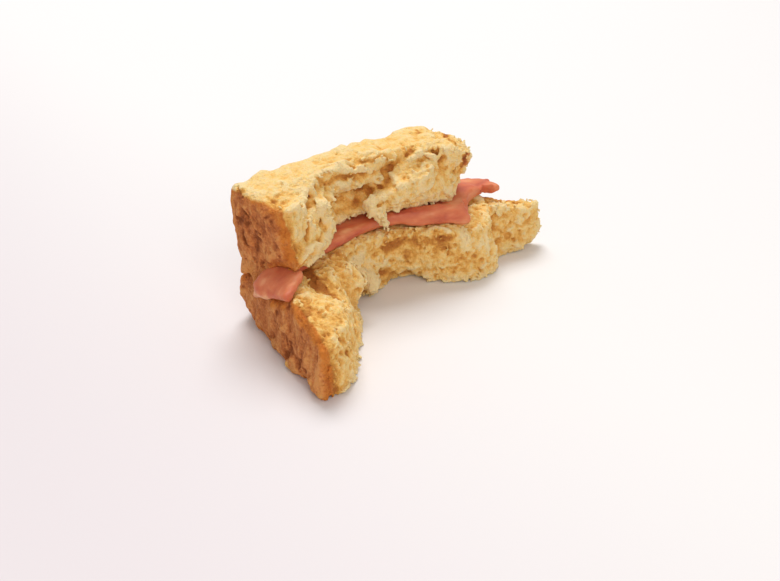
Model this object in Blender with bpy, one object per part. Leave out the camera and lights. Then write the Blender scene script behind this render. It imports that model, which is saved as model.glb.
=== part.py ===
"""A half eaten ham sandwich: two slices of brown bread, bitten back towards their crusts, and folded ham.

Lengths are in millimetres in the slices' own frame, and become metres as each mesh is finished. There, x runs
along the back crust, y points from the bite to the back crust and z is the height above the table, with the
corner of the crusts at x = 0, y = 0. The finished part's origin is at the middle of its box, on the table.
"""

import math

import bmesh
import bpy
from mathutils import Vector, noise

MM = 0.001
CORNER = Vector((-29.8, 14.98, 0.0))

# The lower slice's base, drawn below the table and then pressed flat on it.
LOWER_BASE = -0.4
LOWER_TOP = 12.3
UPPER_BASE = 15.5
UPPER_TOP = 28.0
HAM_BASE = 12.7
HAM_TOP = 15.1
HAM_CLEARANCE = 0.6
FLAP_THICKNESS = 1.2

CRUST_BULGE = 0.5
UPPER_CRUST_TAPER = 1.1
TABLE_CONTACT = 0.12
CRUST_EDGE_RADIUS = 0.6
VOXEL = 0.65
HAM_VOXEL = 0.45
RELIEF_SIZE = 3.2
RELIEF_DEPTH = 0.55
CRAG_SIZE = 1.5
CRAG_DEPTH = 0.3
TRIANGLES = 4600
HAM_TRIANGLES = 2200

# Corners of the uneaten slices: x, y and the radius of the rounding there.
LOWER_OUTLINE = (
    (-7.2, -45.0, 0.0),
    (-1.2, 1.2, 4.0),
    (46.5, 2.6, 7.0),
    (65.5, -14.0, 1.5),
    (66.0, -45.0, 0.0),
)
UPPER_OUTLINE = (
    (1.4, -45.0, 0.0),
    (-2.1, 0.5, 1.2),
    (48.8, 2.7, 5.0),
    (50.8, -45.0, 0.0),
)

# Stations round each bite, from the left crust to the right end: x, y at the slice's top, then at its base.
LOWER_BITE = (
    (-10.0, -31.0, -10.0, -32.0),
    (-3.5, -32.0, -2.8, -32.8),
    (0.0, -30.8, 0.6, -32.0),
    (3.5, -27.6, 5.5, -28.0),
    (6.5, -24.0, 11.9, -20.7),
    (8.5, -20.5, 16.6, -14.9),
    (10.0, -16.0, 18.6, -11.0),
    (12.4, -12.0, 19.6, -7.6),
    (17.4, -9.8, 21.2, -6.4),
    (22.0, -9.0, 23.6, -8.2),
    (26.0, -8.8, 26.2, -8.9),
    (30.5, -10.4, 30.6, -9.4),
    (35.4, -13.6, 34.2, -11.6),
    (40.8, -16.6, 40.8, -17.0),
    (45.5, -17.0, 45.4, -18.2),
    (48.8, -15.9, 49.9, -17.2),
    (49.8, -13.4, 50.6, -14.6),
    (54.5, -13.4, 54.1, -13.7),
    (59.0, -14.6, 59.6, -14.6),
    (62.8, -15.0, 63.8, -15.4),
    (70.0, -10.0, 72.0, -14.4),
)
UPPER_BITE = (
    (-10.0, -12.4, -10.0, -15.6),
    (-0.5, -12.4, 0.8, -15.4),
    (3.5, -12.2, 4.2, -15.0),
    (7.0, -10.8, 8.4, -13.8),
    (10.5, -8.4, 12.0, -11.2),
    (13.5, -6.6, 14.4, -8.0),
    (17.5, -6.2, 17.5, -5.8),
    (22.0, -6.2, 22.0, -5.1),
    (26.0, -6.4, 25.6, -5.6),
    (30.0, -6.6, 28.4, -8.2),
    (33.5, -6.8, 32.0, -9.4),
    (37.0, -7.4, 36.4, -10.0),
    (40.5, -8.6, 40.5, -11.0),
    (44.0, -9.8, 43.6, -10.4),
    (47.0, -10.4, 46.2, -7.6),
    (56.0, -10.6, 56.0, -5.0),
)

# Torn hollows and lumps: centre and radii.
LOWER_HOLLOWS = (
    ((30.0, -11.2, -0.4), (5.5, 2.8, 4.0)),
    ((19.6, -9.6, 9.0), (2.4, 1.8, 2.0)),
    ((31.5, -12.2, 8.6), (2.6, 1.6, 1.6)),
    ((5.4, -17.6, 13.4), (2.6, 2.2, 1.8)),
)
LOWER_LUMPS = (
    ((22.8, -8.6, 3.2), (3.0, 2.6, 3.0)),
    ((14.6, -12.8, 7.6), (3.4, 3.0, 4.2)),
)
UPPER_HOLLOWS = (
    ((20.4, -7.2, 20.4), (6.4, 3.6, 3.0)),
    ((9.6, -10.6, 25.6), (1.5, 2.6, 1.6)),
    ((28.5, -7.0, 25.2), (3.6, 1.8, 1.3)),
    ((45.6, -11.2, 22.6), (2.6, 2.2, 3.4)),
)
UPPER_LUMPS = (
    ((12.2, -9.0, 20.0), (2.1, 2.0, 4.4)),
    ((13.2, -8.2, 24.0), (4.4, 2.3, 1.3)),
)

# The torn flap of crumb on the upper slice: x, y, z and its half thickness.
CRUMB_FLAP = (
    (24.4, -6.6, 18.6, 1.0),
    (27.0, -8.0, 19.2, 1.6),
    (30.5, -8.6, 20.4, 2.3),
    (34.5, -8.6, 21.8, 3.0),
    (37.6, -7.6, 23.6, 2.8),
    (40.0, -6.2, 25.2, 1.8),
)

# The shred of crumb that hangs from the flap over the ham.
SHRED = (
    (26.0, -7.4, 19.6, 1.5),
    (24.2, -8.4, 18.6, 1.3),
    (25.2, -9.9, 16.9, 1.1),
    (26.2, -11.2, 14.6, 0.8),
)

# The edge of the folded ham, seen from above.
HAM_OUTLINE = (
    (2.0, -9.2),
    (2.8, -13.6),
    (6.0, -12.0),
    (9.2, -10.6),
    (12.6, -9.6),
    (17.3, -8.4),
    (21.8, -7.6),
    (26.0, -7.4),
    (30.5, -9.3),
    (35.6, -12.4),
    (40.0, -14.8),
    (43.0, -15.8),
    (44.6, -13.4),
    (46.8, -10.4),
    (50.2, -8.9),
    (53.0, -8.7),
    (55.6, -10.2),
    (56.8, -8.6),
    (56.2, -7.0),
    (57.6, -6.0),
    (55.0, -3.6),
    (51.0, -2.8),
    (44.0, -2.0),
    (30.0, -1.6),
    (14.0, -1.8),
    (5.0, -4.6),
)

# The two side edges of the ham's loose flap, from under the upper slice to its free end.
FLAP_BACK_EDGE = (
    (5.0, -8.0, 13.9),
    (0.6, -8.8, 13.7),
    (-1.6, -9.0, 13.3),
    (-3.1, -9.4, 12.0),
    (-3.7, -9.9, 10.0),
)
FLAP_FRONT_EDGE = (
    (6.2, -12.6, 14.0),
    (3.0, -15.4, 14.5),
    (1.2, -17.0, 14.5),
    (-0.9, -18.6, 14.3),
    (-3.2, -19.8, 13.6),
)


def clear_scene():
    for obj in list(bpy.data.objects):
        bpy.data.objects.remove(obj)


def add_mesh(name, bm):
    mesh = bpy.data.meshes.new(name)
    bmesh.ops.recalc_face_normals(bm, faces=bm.faces)
    bm.to_mesh(mesh)
    bm.free()
    obj = bpy.data.objects.new(name, mesh)
    bpy.context.scene.collection.objects.link(obj)
    return obj


def material(name, colour, roughness):
    mat = bpy.data.materials.new(name)
    mat.use_nodes = True
    shader = mat.node_tree.nodes["Principled BSDF"]
    shader.inputs["Base Color"].default_value = (*colour, 1.0)
    shader.inputs["Roughness"].default_value = roughness
    shader.inputs["Metallic"].default_value = 0.0
    return mat


def rounded(corners, steps=8):
    """The outline through the corners, each turned into an arc of its own radius."""
    points = []
    count = len(corners)
    for i, (x, y, radius) in enumerate(corners):
        here = Vector((x, y))
        if radius == 0.0:
            points.append(here)
            continue
        before = (Vector(corners[i - 1][:2]) - here).normalized()
        after = (Vector(corners[(i + 1) % count][:2]) - here).normalized()
        half = before.angle(after) / 2
        reach = radius / math.tan(half)
        centre = here + (before + after).normalized() * radius / math.sin(half)
        start = here + before * reach - centre
        end = here + after * reach - centre
        for step in range(steps + 1):
            share = step / steps
            points.append(centre + start.slerp(end, share).normalized() * radius)
    return points


def smooth(stations, steps=4):
    """Points on a Catmull-Rom curve through the stations, which may have any number of columns."""
    ends = [stations[0], *stations, stations[-1]]
    points = []
    for i in range(1, len(ends) - 2):
        a, b, c, d = (Vector(ends[i + k]) for k in (-1, 0, 1, 2))
        for step in range(steps):
            t = step / steps
            points.append(
                0.5 * (2 * b + (c - a) * t + (2 * a - 5 * b + 4 * c - d) * t**2 + (3 * b - a - 3 * c + d) * t**3)
            )
    points.append(Vector(stations[-1]))
    return points


def loft(name, rings):
    """A closed mesh through rings of the same number of points, capped at both ends."""
    bm = bmesh.new()
    loops = [[bm.verts.new(point) for point in ring] for ring in rings]
    count = len(rings[0])
    for low, high in zip(loops, loops[1:]):
        for i in range(count):
            j = (i + 1) % count
            bm.faces.new((low[i], low[j], high[j], high[i]))
    for cap in (loops[0], loops[-1]):
        face = bm.faces.new(cap)
        bmesh.ops.triangulate(bm, faces=[face])
    return add_mesh(name, bm)


def whole_slice(name, corners, base, top, taper):
    """The uneaten slice: its outline, drawn in a little at the top and base so that the crust bulges."""
    outline = rounded(corners)
    centre = sum(outline, Vector((0.0, 0.0))) / len(outline)
    levels = 8
    rings = []
    for level in range(levels + 1):
        share = level / levels
        from_edge = min(share, 1 - share) * (top - base)
        inset = CRUST_BULGE * (2 * share - 1) ** 2 + taper * (1 - share)
        if from_edge < CRUST_EDGE_RADIUS:
            inset += CRUST_EDGE_RADIUS - math.sqrt(from_edge * (2 * CRUST_EDGE_RADIUS - from_edge))
        ring = []
        for point in outline:
            outward = (point - centre).normalized()
            x, y = point - outward * inset
            ring.append((x, y, base + share * (top - base)))
        rings.append(ring)
    return loft(name, rings)


def bite_cutter(name, stations, base, top):
    """What was eaten: all in front of the stations, from below the slice to above it."""
    reach = 60.0
    rings = []
    for z, columns in ((base - 8.0, (2, 3)), (base, (2, 3)), (top, (0, 1)), (top + 8.0, (0, 1))):
        ring = [(point[columns[0]], point[columns[1]], z) for point in smooth(stations)]
        last = ring[-1]
        ring += [(last[0], last[1] - reach, z), (ring[0][0], last[1] - reach, z)]
        rings.append(ring)
    cutter = loft(name, rings)
    hide(cutter)
    return cutter


def hide(obj):
    obj.hide_render = True
    obj.display_type = "WIRE"


def ellipsoid(name, centre, radii):
    bm = bmesh.new()
    bmesh.ops.create_icosphere(bm, subdivisions=3, radius=1.0)
    for vert in bm.verts:
        ragged = 1.0 + 0.25 * noise.noise(vert.co * 1.7 + Vector(centre))
        vert.co = Vector(centre) + ragged * Vector([a * b for a, b in zip(vert.co, radii)])
    return add_mesh(name, bm)


def boolean(obj, other, operation):
    modifier = obj.modifiers.new(operation.title(), "BOOLEAN")
    modifier.operation = operation
    modifier.object = other
    modifier.solver = "EXACT"


def bake(obj):
    """Makes the evaluated mesh the object's own, and drops its modifiers."""
    graph = bpy.context.evaluated_depsgraph_get()
    mesh = bpy.data.meshes.new_from_object(obj.evaluated_get(graph))
    obj.modifiers.clear()
    obj.data = mesh


def remesh(obj, voxel):
    modifier = obj.modifiers.new("Remesh", "REMESH")
    modifier.mode = "VOXEL"
    modifier.voxel_size = voxel
    modifier.adaptivity = 0.0
    bake(obj)


def lighten(obj, triangles):
    """Collapses edges until the mesh has about that many triangles."""
    count = sum(len(face.vertices) - 2 for face in obj.data.polygons)
    modifier = obj.modifiers.new("Decimate", "DECIMATE")
    modifier.ratio = min(1.0, triangles / count)
    modifier.use_collapse_triangulate = True
    bake(obj)


def hump(x, y, at, radius):
    """1 at the place, falling smoothly to nothing a few radii away."""
    return math.exp(-((x - at[0]) ** 2 + (y - at[1]) ** 2) / radius**2)


def ramp(value, start, end):
    """0 before the start, 1 after the end, smooth between."""
    share = max(0.0, min(1.0, (value - start) / (end - start)))
    return share * share * (3 - 2 * share)


# The corner, held between finger and thumb, is pressed flat there.
PINCH = (-1.0, 1.0)


def lower_base_lift(x, y):
    return 2.8 * hump(x, y, PINCH, 6.5)


def lower_top_lift(x, y):
    leg_tip = ramp(-y, 25.0, 34.0) * (1.0 - ramp(x, 8.0, 14.0))
    leg_side = ramp(x, 1.0, 9.0) * ramp(-y, 13.0, 20.0)
    root = hump(x, y, (-2.0, -18.0), 7.0)
    return -2.6 * hump(x, y, PINCH, 6.5) + 0.8 * root - 2.6 * leg_tip - 3.0 * leg_side - 1.8 * ramp(x, 49.0, 60.0)


def upper_base_lift(x, y):
    return -5.2 * hump(x, y, PINCH, 8.5) + 0.8 * ramp(x, 42.0, 50.0)


def upper_top_lift(x, y):
    return -0.6 * ramp(x, 20.0, 40.0) - 1.8 * ramp(x, 42.0, 49.0) - 1.6 * ramp(-y - 0.12 * abs(x - 22), 3.5, 8.0)


def ham_base_lift(x, y):
    tip = ramp(x, 47.0, 53.0)
    return max(lower_top_lift(x, y), -1.4) * (1 - tip) + 0.7 * tip


def ham_top_lift(x, y):
    tip = ramp(x, 47.0, 53.0)
    fold = 0.8 * ramp(-y - 0.33 * (x - 26.0), 5.0, 7.5) * ramp(x, 27.0, 31.0) * (1 - ramp(x, 38.0, 44.0))
    front = -1.2 * hump(x, y, (44.0, -16.0), 3.5)
    return (max(upper_base_lift(x, y), -2.0) + fold + front) * (1 - tip) - 0.5 * tip


def settle(obj, base, top, base_lift, top_lift):
    """Bends the flat slice to the heights that its two faces really have."""
    for vert in obj.data.vertices:
        x, y, z = vert.co
        share = max(0.0, min(1.0, (z - base) / (top - base)))
        vert.co.z = z + base_lift(x, y) * (1 - share) + top_lift(x, y) * share


def roughen(obj, plain_levels):
    """Crumb relief on the open faces, none on those that lie on the ham or the table."""
    mesh = obj.data
    shifts = []
    for vert, normal in zip(mesh.vertices, mesh.vertex_normals):
        place = vert.co
        away = min(abs(place.z - level) for level in plain_levels)
        depth = ramp(away, 0.3, 2.0)
        broad = noise.noise(place / RELIEF_SIZE)
        crag = noise.noise(place / CRAG_SIZE + Vector((40.0, 0.0, 0.0)))
        shifts.append(normal.vector * depth * (RELIEF_DEPTH * broad + CRAG_DEPTH * crag))
    for vert, shift in zip(mesh.vertices, shifts):
        vert.co += shift


def stand_on_table(obj):
    """Presses what reaches the table, or nearly does, flat on it."""
    for vert in obj.data.vertices:
        if vert.co.z < TABLE_CONTACT:
            vert.co.z = 0.0


def finish(obj, mat):
    """From millimetres in the slices' frame to metres in the part's."""
    for vert in obj.data.vertices:
        vert.co = (vert.co + CORNER) * MM
    obj.data.materials.clear()
    obj.data.materials.append(mat)
    obj.data.shade_flat()


def strip(name, stations):
    """A strip of crumb, as a chain of rings round its path."""
    path = smooth(stations, 3)
    rings = []
    for i, point in enumerate(path):
        along = (path[min(i + 1, len(path) - 1)] - path[max(i - 1, 0)]).to_3d().normalized()
        side = along.cross(Vector((0.0, 1.0, 0.0))).normalized()
        front = along.cross(side)
        ring = []
        for step in range(10):
            angle = 2 * math.pi * step / 10
            ring.append(point.to_3d() + (side * math.cos(angle) * 1.2 + front * math.sin(angle) * 0.9) * point[3])
        rings.append(ring)
    crumb = loft(name, rings)
    hide(crumb)
    return crumb


def ham_sheet():
    """The folded ham between the slices, with a rounded edge, bent to the slices' faces."""
    outline = smooth(HAM_OUTLINE + HAM_OUTLINE[:1], 3)[:-1]
    centre = sum(outline, Vector((0.0, 0.0))) / len(outline)
    thickness = HAM_TOP - HAM_BASE
    rings = []
    for level in range(7):
        share = level / 6
        inset = 0.9 * (1 - math.sqrt(max(0.0, 1 - (2 * share - 1) ** 2)))
        ring = []
        for i, point in enumerate(outline):
            along = outline[(i + 1) % len(outline)] - outline[i - 1]
            inward = Vector((-along.y, along.x)).normalized()
            x, y = point + inward * inset
            ring.append((x, y, HAM_BASE + share * thickness))
        rings.append(ring)
    sheet = loft("ham", rings)
    remesh(sheet, HAM_VOXEL)
    settle(sheet, HAM_BASE, HAM_TOP, ham_base_lift, ham_top_lift)
    return sheet


def ham_flap():
    """The loose flap that hangs over the lower crust."""
    back = smooth(FLAP_BACK_EDGE, 4)
    front = smooth(FLAP_FRONT_EDGE, 4)
    steps = 8
    half = FLAP_THICKNESS / 2
    rings = []
    for i, (start, end) in enumerate(zip(back, front)):
        centre = (start + end) / 2
        j = min(i + 1, len(back) - 1)
        k = max(i - 1, 0)
        along = (back[j] + front[j]) / 2 - (back[k] + front[k]) / 2
        up = along.cross(end - start).normalized()
        upper = [start.lerp(end, step / steps) + up * half for step in range(steps + 1)]
        lower = [start.lerp(end, step / steps) - up * half for step in range(steps, -1, -1)]
        rings.append(upper + lower)
    flap = loft("ham_flap", rings)
    hide(flap)
    return flap


def folded_ham():
    ham = ham_sheet()
    boolean(ham, ham_flap(), "UNION")
    bake(ham)
    remesh(ham, HAM_VOXEL)
    lighten(ham, HAM_TRIANGLES)
    return ham


def dent(bread, ham):
    """Presses the ham's shape, with some clearance, into a slice."""
    cutter = bpy.data.objects.new("ham_dent", ham.data.copy())
    bpy.context.scene.collection.objects.link(cutter)
    hide(cutter)
    shifts = [normal.vector * HAM_CLEARANCE for normal in ham.data.vertex_normals]
    for vert, shift in zip(cutter.data.vertices, shifts):
        vert.co += shift
    boolean(bread, cutter, "DIFFERENCE")
    bake(bread)
    remesh(bread, VOXEL)
    bpy.data.objects.remove(cutter)


def bread_slice(name, corners, stations, hollows, lumps, base, top, taper=0.0, strips=()):
    """A slice with its bite, hollows, lumps and strips, still flat."""
    bread = whole_slice(name, corners, base, top, taper)
    boolean(bread, bite_cutter(name + "_bite", stations, base, top), "DIFFERENCE")
    for i, (centre, radii) in enumerate(hollows):
        cutter = ellipsoid(f"{name}_hollow_{i}", centre, radii)
        hide(cutter)
        boolean(bread, cutter, "DIFFERENCE")
    for i, (centre, radii) in enumerate(lumps):
        lump = ellipsoid(f"{name}_lump_{i}", centre, radii)
        hide(lump)
        boolean(bread, lump, "UNION")
    for crumb in strips:
        boolean(bread, crumb, "UNION")
    bake(bread)
    remesh(bread, VOXEL)
    return bread


def lower_bread(mat, ham):
    bread = bread_slice(
        "bread_lower", LOWER_OUTLINE, LOWER_BITE, LOWER_HOLLOWS, LOWER_LUMPS, LOWER_BASE, LOWER_TOP
    )
    roughen(bread, (LOWER_BASE, LOWER_TOP))
    settle(bread, LOWER_BASE, LOWER_TOP, lower_base_lift, lower_top_lift)
    dent(bread, ham)
    stand_on_table(bread)
    lighten(bread, TRIANGLES)
    stand_on_table(bread)
    finish(bread, mat)


def upper_bread(mat, ham):
    strips = [strip("crumb_flap", CRUMB_FLAP), strip("shred", SHRED)]
    bread = bread_slice(
        "bread_upper",
        UPPER_OUTLINE,
        UPPER_BITE,
        UPPER_HOLLOWS,
        UPPER_LUMPS,
        UPPER_BASE,
        UPPER_TOP,
        UPPER_CRUST_TAPER,
        strips,
    )
    roughen(bread, (UPPER_BASE,))
    settle(bread, UPPER_BASE, UPPER_TOP, upper_base_lift, upper_top_lift)
    dent(bread, ham)
    lighten(bread, TRIANGLES)
    finish(bread, mat)


def main():
    clear_scene()
    ham = folded_ham()
    lower_bread(material("bread_lower", (0.66, 0.44, 0.21), 0.85), ham)
    upper_bread(material("bread_upper", (0.68, 0.46, 0.22), 0.85), ham)
    finish(ham, material("ham", (0.58, 0.2, 0.14), 0.45))


main()
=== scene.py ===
"""Looks for the half eaten ham sandwich: torn crumb with pores, browned crust and moist folded ham.

Each CAD solid is turned into a field of distances to its surface, in millimetres. Pores, pits and flakes are
worked into the field, and its surface becomes the mesh that stands for the node.
"""

import math
from collections import namedtuple

import bpy
import numpy as np
import openvdb as vdb
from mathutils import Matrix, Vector
from mathutils.bvhtree import BVHTree


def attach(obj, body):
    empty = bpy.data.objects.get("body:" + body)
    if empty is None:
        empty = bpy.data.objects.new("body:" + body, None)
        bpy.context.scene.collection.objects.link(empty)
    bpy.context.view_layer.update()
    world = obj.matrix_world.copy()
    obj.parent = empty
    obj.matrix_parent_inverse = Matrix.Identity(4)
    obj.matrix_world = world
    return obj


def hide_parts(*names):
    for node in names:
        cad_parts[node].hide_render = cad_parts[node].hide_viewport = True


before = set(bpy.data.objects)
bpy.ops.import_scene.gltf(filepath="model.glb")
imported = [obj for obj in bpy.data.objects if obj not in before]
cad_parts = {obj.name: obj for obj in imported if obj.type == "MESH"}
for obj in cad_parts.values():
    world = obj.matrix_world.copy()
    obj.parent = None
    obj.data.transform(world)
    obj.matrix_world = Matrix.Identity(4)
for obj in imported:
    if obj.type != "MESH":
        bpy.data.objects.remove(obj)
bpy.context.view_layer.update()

MM = 0.001

# The fields: the voxels and how far from the surface distances are kept, in millimetres, and the margin
# round the solid in voxels. The adaptivity lets flat places be meshed with larger faces.
STEP = 0.2
HAM_STEP = 0.2
BAND = 2.6
MARGIN = 6
ADAPTIVITY = 0.22

# The corner of the crusts in the part's frame, where the slices' own frame starts.
CORNER = (-29.8, 14.98, 0.0)

# The lines of the crusts from above, in the slices' own frame: left, back and right.
LOWER_CRUST = ((-7.2, -45.0), (-1.2, 1.2), (46.5, 2.6), (65.5, -14.0))
LOWER_ROUND = 4.0
UPPER_CRUST = ((1.4, -45.0), (-2.1, 0.5), (48.8, 2.7), (50.8, -45.0))
UPPER_ROUND = 1.5
UPPER_TOP = 28.0
UPPER_HEIGHT = 12.5
UPPER_LEAN = 1.1

# What counts as crust on a solid: the depth behind its line, and how level the face may be. The underside
# lies on the table.
CRUST_DEPTH = 1.3
CRUST_LEVEL = 0.75
UNDER_HEIGHT = 0.05
UNDER_LEVEL = -0.9

# The crust that closes the gap round the corner: how far it reaches, the height of its seam and how far the
# halves overlap there, how high each half is and how widely it blends into its slice, the wall's middle
# behind the crusts' lines and half its thickness, how steeply it ends, and the gap between the slices.
PINCH_LENGTH = 9.4
PINCH_SEAM = 14.1
PINCH_OVERLAP = 0.1
PINCH_HEIGHT = 3.0
PINCH_BLEND = 1.4
PINCH_MIDDLE = 1.2
PINCH_HALF = 0.9
PINCH_FADE = 0.6
GAP_LOW = 12.0
GAP_HEIGHT = 3.5

# Ramps: none at the first number, all at the second. First those by the depth or distance from the crust,
# then those by the height on the upper slice, whose top is cut, and last those round the pinched corner.
CRUST_SHAPE = (1.6, 0.7)
CRUST_COLOUR = (1.6, 0.3)
CRUST_RIM = (2.2, 0.3)
CRUST_WARMTH = (3.6, 0.4)
TOP_BACK = (7.0, 4.0)
TOP_LEVEL = (26.2, 27.6)
TOP_COLOUR = (27.9, 26.3)
TOP_WARMTH = (27.8, 26.4)
CORNER_PALE = (2.6, 1.2)
PINCH_DEPTH = (2.6, 1.6)
PINCH_END = (PINCH_LENGTH + 3.0, PINCH_LENGTH + 2.0)
PINCH_SIDES = (5.0, 4.0)

# How much smoother the cut top is: its crumb, the crumb by the back crust besides, and the crust's edge.
TOP_SMOOTH = 0.35
BACK_SMOOTH = 0.25
EDGE_SMOOTH = 0.65

# How much less brown the crust's corner is on the upper slice.
CORNER_LIGHTER = 1.3

# Noise that bends round shapes out of true, and that makes the forms uneven: share and wavelength.
WARP = (0.26, 1.1)
HAM_WARP = (0.2, 1.1)
FORM_WARP = 1.6
UNEVEN = (0.35, 1.2)

# How hollow a place is, for the painted shade that darkens hollows: the reach over which the distances are
# averaged, and the weight.
NEAR_HOLLOW = (0.45, 0.42)
WIDE_HOLLOW = (1.3, 0.5)
EDGE_REACH = 1.0

# The crumb's relief: share, wavelength in millimetres and stretch along each axis. The first two make tufts
# with valleys between them, the other two crests that cross. Plain noise joins them: share and wavelength.
TUFTS = (
    (-0.24, 2.8, (1, 1, 1)),
    (-0.12, 1.3, (1, 1, 1)),
    (0.15, 0.6, (2.0, 0.9, 0.7)),
    (0.15, 0.6, (0.7, 0.9, 2.0)),
)
TUFT_GRIT = ((0.06, 1.0), (0.12, 0.42))
TUFT_SEED = 20
TUFT_ROUND = 0.02
TUFT_HIGH = 1.8
TUFT_MEAN = 0.8

# Pores: how many for each square millimetre, their least and greatest radius, and how far they stand out.
PORES = ((0.003, 0.4, 0.55, 0.5), (0.03, 0.2, 0.3, 0.35))
PORE_SHAPES = (0.6, 1.3)

# Flakes: how many are tried for each square millimetre, how likely each is on an edge, their sizes, shape
# and rise. They stand on pure crumb alone.
FLAKES = 4.0
PURE_CRUMB = 0.98
FLAKE_CHANCE = 0.55
FLAKE_EDGE = 0.3
FLAKE_FLAT = 0.2
FLAKE_SIZES = (0.2, 0.4)
FLAKE_SHAPE = (1.15, 0.9, 0.55)
FLAKE_RISE = 0.2

# Pits in the crust: how many for each square millimetre, their radii, and the depth and brown of the
# shallowest, each with what the deepest has more.
PITS = 0.7
PIT_RADII = (0.5, 1.1)
PIT_DEPTH = (0.12, 0.24)
PIT_BROWN = (0.3, 1.1)

# Relief of the crust and of the ham: share and wavelength in millimetres.
CRUST_RELIEF = ((0.2, (1.8, 1.8, 2.4)), (0.07, 0.8))
HAM_RELIEF = ((0.12, (3.0, 2.0, 1.0)), (0.08, 0.9))
HAM_SWELL = 0.2

# The photograph: its size, its lens, and where it was taken from, in millimetres in the part's frame.
IMAGE_WIDTH = 780
IMAGE_HEIGHT = 581
LENS = 50.0
SENSOR = 36.0
EYE = (-120.15, -140.36, 107.91)
PITCH = math.radians(30.0)
HEADING = math.radians(39.0)
PIXEL_STEP = 2.0

# Colours by how deep or how light a place is. The crumb's darker stops serve partly as painted shade in
# hollows, and the floor's darker stop as painted shade towards the left.
CRUMB_RANGE = (0.0, 1.2)
CRUMB_STOPS = (
    (0.0, (0.86, 0.675, 0.36)),
    (0.25, (0.88, 0.61, 0.24)),
    (0.45, (0.84, 0.50, 0.145)),
    (0.7, (0.70, 0.34, 0.075)),
    (1.0, (0.48, 0.18, 0.040)),
)
BAKED_STOPS = (
    (0.08, (0.26, 0.072, 0.020)),
    (0.34, (0.47, 0.148, 0.044)),
    (0.52, (0.60, 0.215, 0.066)),
    (0.70, (0.72, 0.32, 0.105)),
)
ORANGE_RANGE = (0.3, 0.75)
ORANGE_DARK = (0.46, 0.126, 0.021)
ORANGE_LIGHT = (0.64, 0.215, 0.038)
HAM_STOPS = (
    (0.28, (0.46, 0.09, 0.05)),
    (0.42, (0.60, 0.145, 0.07)),
    (0.56, (0.68, 0.21, 0.095)),
    (0.75, (0.82, 0.40, 0.20)),
)
CRUST_RANGE = (0.25, 0.85)
RIM_RANGE = (0.15, 0.85)
# The floor darkens and turns pinker towards the left: painted shade.
FLOOR_SPAN = (-0.09, 0.02)
FLOOR_STOPS = ((0.0, (0.73, 0.685, 0.72)), (1.0, (0.815, 0.81, 0.82)))


# Forms that the photograph shows, by the pixels along their middle lines. Radius and depth are in
# millimetres, and a depth below 0 stands out. The last column is how much darker the form is, or below 0 how
# much paler: the bread's own brown on crust spots, chips, pits and rims, but painted shade in grooves,
# recesses, folds, dips and under other parts, and painted highlight on crests, lips, ridges and low rims.

Form = namedtuple("Form", "pixels radius depth brown")

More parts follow.
